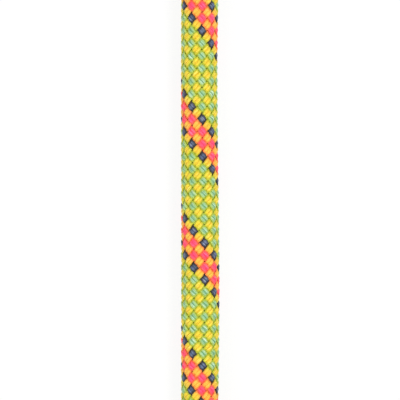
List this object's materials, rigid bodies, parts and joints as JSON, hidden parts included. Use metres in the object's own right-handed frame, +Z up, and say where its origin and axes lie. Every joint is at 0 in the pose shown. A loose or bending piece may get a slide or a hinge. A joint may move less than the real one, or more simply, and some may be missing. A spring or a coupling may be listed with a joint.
{
  "type": "climbing rope",
  "caption": "Dynamic kernmantle rope with a tracer-braided sheath: a straight length with a sleeved end, the rest folded into a hank held by a hook-and-loop strap.",
  "frame": {"origin": "below the middle of the whole object, on the surface that it lies on", "axes": "+Y along the straight stretch towards its free end, +Z up, +X across the hank"},
  "size_m": [0.1585, 0.4707, 0.0491],
  "materials": {
    "sheath": "braided nylon yarn, satin",
    "core": "twisted nylon yarn, undyed",
    "tape": "thin bare film",
    "melted_end": "melted nylon",
    "sleeve": "shrunk tube, satin",
    "webbing": "woven nylon webbing",
    "ring": "plated steel wire",
    "hook": "nylon hooks",
    "loop": "brushed nylon loops"
  },
  "bodies": {
    "rope": {"sheath": "sheath", "core_strand_1": "core", "core_strand_2": "core", "core_strand_3": "core", "core_strand_4": "core", "core_strand_5": "core", "core_strand_6": "core", "core_strand_7": "core", "core_strand_8": "core", "core_strand_9": "core", "core_strand_10": "core", "core_strand_11": "core", "core_strand_12": "core", "marker_tape": "tape", "end_seal": "melted_end", "end_sleeve": "sleeve", "hank": "sheath", "hank_end_seal": "melted_end", "hank_end_sleeve": "sleeve", "tie_band": "webbing", "tie_ring": "ring", "tie_loop_panel": "loop"},
    "strap_tail": {"tie_tail": "webbing", "tie_hook_panel": "hook"}
  },
  "joints": [
    {"name": "tail_peel", "type": "hinge", "parent": "rope", "child": "strap_tail", "pos_m": [-0.00938, -0.0825, 0.04835], "axis": [0, -1, 0], "range_deg": [0, 120]}
  ]
}
